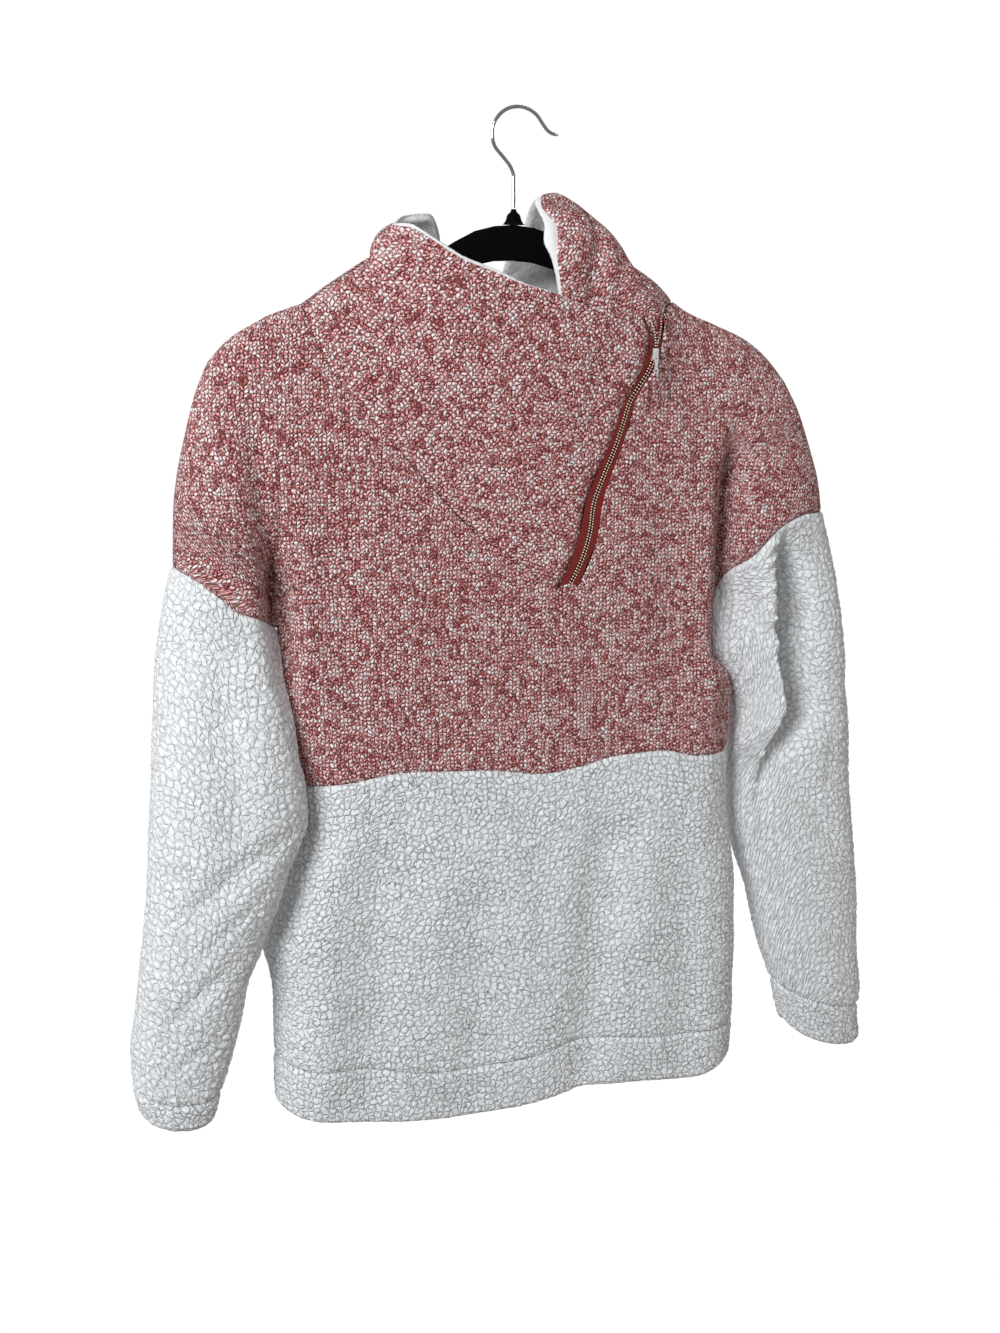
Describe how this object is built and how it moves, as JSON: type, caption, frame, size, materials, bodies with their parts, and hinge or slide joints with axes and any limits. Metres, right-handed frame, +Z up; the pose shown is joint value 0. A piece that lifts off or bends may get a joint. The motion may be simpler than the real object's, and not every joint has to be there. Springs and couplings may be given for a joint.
{
  "type": "funnel-neck sherpa fleece pullover on a flocked hanger with a wire hook",
  "caption": "Funnel-neck pullover with marled knit yoke, slanted side zip, sherpa fleece body and sleeves, hanging open-cuffed on a slim flocked hanger with a wire hook",
  "frame": {"origin": "the inside top of the hanger's hook, where it rests on its rail or nail", "axes": "+Z is up, the garment's front faces -Y and +X is to the right of someone who looks at that front"},
  "size_m": [0.6444, 0.123, 0.8066],
  "materials": {
    "marled_knit": "brick red, pink and off-white marled knit",
    "collar_fleece": "smooth off-white fleece",
    "sherpa_fleece": "off-white pebbled sherpa fleece",
    "zip_tape": "rust-red woven tape",
    "zip_coil": "pale gold coil",
    "slider_silver": "bright silver plating",
    "black_flock": "black flocking",
    "chrome_wire": "polished wire"
  },
  "bodies": {
    "garment": {"upper_front": "marled_knit", "upper_back": "marled_knit", "funnel_front": "marled_knit", "collar_back": "marled_knit", "funnel_lining": "collar_fleece", "collar_lining": "collar_fleece", "lower_front": "sherpa_fleece", "lower_back": "sherpa_fleece", "hem_band_front": "sherpa_fleece", "hem_band_back": "sherpa_fleece", "sleeve_left": "sherpa_fleece", "sleeve_right": "sherpa_fleece", "cuff_left": "sherpa_fleece", "cuff_right": "sherpa_fleece", "zip_tape_left": "zip_tape", "zip_tape_right": "zip_tape", "zip_coil": "zip_coil", "zip_half_coil_left": "zip_coil", "zip_half_coil_right": "zip_coil", "zip_slider": "slider_silver", "hanger_body": "black_flock", "hanger_boss": "black_flock", "hanger_hook": "chrome_wire"},
    "pull": {"zip_pull": "slider_silver"}
  },
  "joints": [
    {"name": "pull_swing", "type": "hinge", "parent": "garment", "child": "pull", "pos_m": [0.1015, -0.0366, -0.1826], "axis": [-1, 0, 0], "range_deg": [0, 150]}
  ]
}
